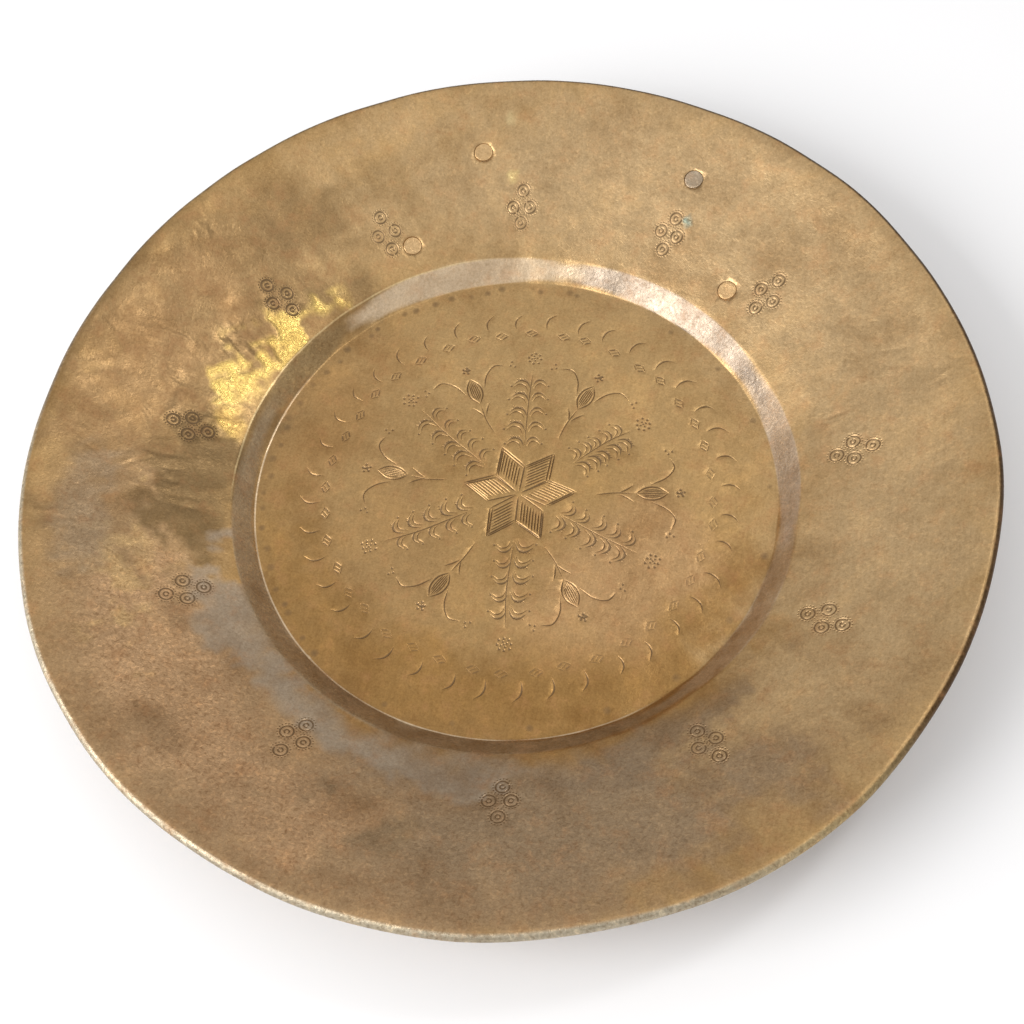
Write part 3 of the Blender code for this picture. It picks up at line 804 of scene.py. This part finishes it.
def rivet_profile():
    """Outline from the middle of the head, over its hammered edge, down the cone and round the tail."""
    edge = np.radians(np.linspace(90, -10, 7))
    head_r = np.concatenate([[0.0, 0.0018, 0.0034], RIVET_HEAD - 0.0004 + 0.0004 * np.cos(edge)])
    head_z = np.concatenate([[0.00066, 0.00071, 0.00076], 0.00038 + 0.0004 * np.sin(edge)])
    dome = np.radians(np.linspace(0, 90, 9))
    tail_r = np.concatenate([[RIVET_TAIL * 0.97], RIVET_TAIL * np.cos(dome)])
    tail_z = np.concatenate([[TAIL_SEAT], TAIL_SEAT - 0.0002 - (TAIL_RISE - 0.0002) * np.sin(dome)])
    r = np.concatenate([head_r, [0.0041, RIVET_SHANK, RIVET_SHANK], tail_r])
    z = np.concatenate([head_z, [-0.0002, -0.0006, TAIL_SEAT], tail_z])
    return r, z


def turned_piece(name, r, z, around, wobble=0.0):
    """A profile carried once round Z and closed at both poles, its radius wandering a little."""
    turn = np.arange(around) * 2 * np.pi / around
    wander = 1 + wobble * (np.sin(2 * turn + 0.7) + 0.6 * np.sin(3 * turn + 2.0) + 0.4 * np.sin(5 * turn))
    flat = np.stack([wander * np.cos(turn), wander * np.sin(turn)], axis=-1)
    ring = r[1:-1, None, None] * flat
    body = np.concatenate([ring, np.repeat(z[1:-1], around).reshape(-1, around, 1)], axis=-1)
    grid = np.arange(len(r[1:-1]) * around).reshape(-1, around)
    nxt = np.roll(grid, -1, axis=1)
    quads = np.stack([grid[:-1], grid[1:], nxt[1:], nxt[:-1]], -1).reshape(-1, 4)
    top, bottom = grid.size, grid.size + 1
    caps = [np.column_stack([np.full(around, top), grid[0], nxt[0]])]
    caps.append(np.column_stack([nxt[-1], grid[-1], np.full(around, bottom)]))
    mesh = bpy.data.meshes.new(name)
    poles = np.array([[0, 0, z[0]], [0, 0, z[-1]]])
    verts = np.vstack([body.reshape(-1, 3), poles])
    mesh.from_pydata(verts.tolist(), [], quads.tolist() + np.vstack(caps).tolist())
    mesh.shade_smooth()
    piece = bpy.data.objects.new(name, mesh)
    bpy.context.scene.collection.objects.link(piece)
    return piece


rivet_brass = hammered_brass("rivet_brass", (0.68, 0.46, 0.235), 0.0, 0.36)
rivet_grey = hammered_brass("rivet_grey", (0.52, 0.43, 0.32), 0.2, 0.34)
for spot, (x, y) in zip(("inner_right", "outer_right", "inner_left", "outer_left"), RIVETS):
    head = turned_piece("rivet_head_" + spot, *rivet_profile(), 56, 0.012)
    out = Vector((x, y, 0)).normalized()
    facing = Vector((-out.x * RIM_SLOPE, -out.y * RIM_SLOPE, 1)).normalized()
    seat = Vector((x, y, float(mid_height(np.array(math.hypot(x, y))))))
    turn = Vector((0, 0, 1)).rotation_difference(facing).to_matrix().to_4x4()
    head.data.transform(Matrix.Translation(seat) @ turn)
    head.data.materials.append(rivet_grey if spot == "outer_right" else rivet_brass)
    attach(head, "dish")
    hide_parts("rivet_" + spot)

# ---------------------------------------------------------------------------------------------
# The straps: strips of sheet brass folded in two round a ring and riveted to the back of the rim.
# Their edges are eased with a file.
# ---------------------------------------------------------------------------------------------
strap_brass = hammered_brass("strap_brass", (0.50, 0.335, 0.155), 0.2, 0.42)
for side in ("right", "left"):
    strap = bpy.data.objects.new("hanging_strap_" + side, frame["nodes"]["strap_" + side].data.copy())
    bpy.context.scene.collection.objects.link(strap)
    weld = strap.modifiers.new("Weld", "WELD")
    weld.merge_threshold = 0.00001
    eased = strap.modifiers.new("Filed edges", "BEVEL")
    eased.width, eased.segments = 0.00028, 2
    eased.limit_method, eased.angle_limit = "ANGLE", math.radians(50)
    strap.data.materials.clear()
    strap.data.materials.append(strap_brass)
    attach(strap, "dish")
    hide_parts("strap_" + side)

# ---------------------------------------------------------------------------------------------
# The hanging rings: iron wire bent to a D, its ends butted in the middle of the straight bar,
# which turns in the strap's eye.
# ---------------------------------------------------------------------------------------------
RING_WIRE, RING_HALF, RING_CORNER, RING_LEG = 0.0030, 0.0097, 0.0022, 0.0050


def ring_line():
    """The D's centre line as one closed array: bar, corner, leg, half circle, leg, corner, bar."""

    def arc(x, y, radius, start, sweep, count):
        turn = np.radians(start + sweep * np.linspace(0, 1, count))
        return np.column_stack([x + radius * np.cos(turn), y + radius * np.sin(turn)])

    bar = np.column_stack([np.linspace(0, RING_HALF - RING_CORNER, 10)[:-1], np.zeros(9)])
    corner = arc(RING_HALF - RING_CORNER, RING_CORNER, RING_CORNER, -90, 90, 9)
    leg = np.column_stack([np.full(3, RING_HALF), np.linspace(RING_CORNER, RING_LEG, 5)[1:-1]])
    half = np.vstack([bar, corner, leg, arc(0, RING_LEG, RING_HALF, 0, 90, 25)])
    other = half[::-1][1:-1] * (-1, 1)
    return np.vstack([half, other])


def make_hanging_ring(name, centre, axis):
    """Round wire carried along the closed line; it thins a little where its two ends meet."""
    line = ring_line()
    run = np.roll(line, -1, axis=0) - np.roll(line, 1, axis=0)
    run /= np.linalg.norm(run, axis=1)[:, None]
    normal = np.column_stack([run[:, 1], -run[:, 0]])
    turn = np.arange(20) * 2 * np.pi / 20
    thick = RING_WIRE / 2 * (1 - 0.14 * np.exp(-3 * np.arange(len(line)) ** 2))[:, None]
    flat = line[:, None] + normal[:, None] * (thick * np.cos(turn))[..., None]
    deep = thick * np.sin(turn)
    up = Vector((0, 0, 1)) - axis * axis.z
    up.normalize()
    across, up, facing = np.array(axis), np.array(up), np.array(up.cross(axis))
    verts = np.array(centre) + flat[..., :1] * across - flat[..., 1:] * up + deep[..., None] * facing
    grid = np.arange(verts.shape[0] * verts.shape[1]).reshape(verts.shape[:2])
    down, nxt = np.roll(grid, -1, axis=0), np.roll(grid, -1, axis=1)
    quads = np.stack([grid, down, np.roll(down, -1, axis=1), nxt], -1).reshape(-1, 4)
    mesh = bpy.data.meshes.new(name)
    mesh.from_pydata(verts.reshape(-1, 3).tolist(), [], quads.tolist())
    mesh.shade_smooth()
    ring = bpy.data.objects.new(name, mesh)
    bpy.context.scene.collection.objects.link(ring)
    return ring


for joint in frame["joints"]:
    side = "right" if "right" in joint["name"] else "left"
    ring = make_hanging_ring("hanging_ring_" + side, joint["pos_m"], Vector(joint["axis"]).normalized())
    ring.data.materials.append(iron)
    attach(ring, "ring_" + side)
    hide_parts("ring_" + side)

# ---------------------------------------------------------------------------------------------
# The studio: a pale floor, a broad soft light from the lower left, a small one from the far right
# that glares on the wall of the well, an even pale sky, and the camera looking steeply down from
# in front and a little to the right.
# ---------------------------------------------------------------------------------------------
RIM_PLANE = 0.0505
FLOOR_HEIGHT = -0.0001
CAMERA_PLACE = Vector((0.13099, -0.36383, 0.62415 + RIM_PLANE))
CAMERA_RIGHT = Vector((0.97183, 0.22546, -0.06871))
CAMERA_UP = Vector((-0.16549, 0.86029, 0.48219))

camera_data = bpy.data.cameras.new("camera")
camera_data.sensor_width = 36.0
camera_data.lens = 52.7
camera = bpy.data.objects.new("camera", camera_data)
back = CAMERA_RIGHT.cross(CAMERA_UP).normalized()
upward = back.cross(CAMERA_RIGHT).normalized()
facing = Matrix((CAMERA_RIGHT, upward, back)).transposed().to_4x4()
camera.matrix_world = Matrix.Translation(CAMERA_PLACE) @ facing
bpy.context.scene.collection.objects.link(camera)
bpy.context.scene.camera = camera

floor_mesh = bpy.data.meshes.new("floor")
corners = [(x, y, FLOOR_HEIGHT) for x, y in ((-12, -12), (12, -12), (12, 12), (-12, 12))]
floor_mesh.from_pydata(corners, [], [(0, 1, 2, 3)])
floor = bpy.data.objects.new("floor", floor_mesh)
bpy.context.scene.collection.objects.link(floor)
floor_finish = bpy.data.materials.new("floor_paper")
floor_finish.use_nodes = True
paper = floor_finish.node_tree.nodes["Principled BSDF"]
paper.inputs["Base Color"].default_value = (0.87, 0.87, 0.88, 1)
paper.inputs["Roughness"].default_value = 0.9
floor.data.materials.append(floor_finish)


def soft_light(name, turn, lift, distance, size, power, tint=(1, 1, 1)):
    """A square light panel at an angle round the dish and above it, aimed at the middle."""
    data = bpy.data.lights.new(name, "AREA")
    data.shape, data.size, data.energy, data.color = "SQUARE", size, power, tint
    panel = bpy.data.objects.new(name, data)
    flat = heading(turn) * math.cos(math.radians(lift))
    aim = Vector((flat[0], flat[1], math.sin(math.radians(lift))))
    panel.location = aim * distance
    panel.rotation_euler = aim.to_track_quat("Z", "Y").to_euler()
    bpy.context.scene.collection.objects.link(panel)
    return panel


soft_light("key", -142, 36, 1.9, 1.1, 29)
soft_light("glare", 40, 58, 1.9, 0.28, 4.2)
world = bpy.data.worlds.new("studio")
bpy.context.scene.world = world
world.use_nodes = True
sky_nodes = world.node_tree.nodes
sky_links = world.node_tree.links
aim = sky_nodes.new("ShaderNodeTexCoord")
split = sky_nodes.new("ShaderNodeSeparateXYZ")
lift = sky_nodes.new("ShaderNodeMapRange")
lift.inputs["From Min"].default_value, lift.inputs["From Max"].default_value = 0.05, 0.50
lift.inputs["To Min"].default_value, lift.inputs["To Max"].default_value = 0.45, 0.78
sky_links.new(aim.outputs["Generated"], split.inputs[0])
sky_links.new(split.outputs["Z"], lift.inputs["Value"])
sky_links.new(lift.outputs["Result"], sky_nodes["Background"].inputs["Strength"])
sky_nodes["Background"].inputs["Color"].default_value = (1.0, 0.99, 0.98, 1)
bpy.context.scene.view_settings.view_transform = "Standard"
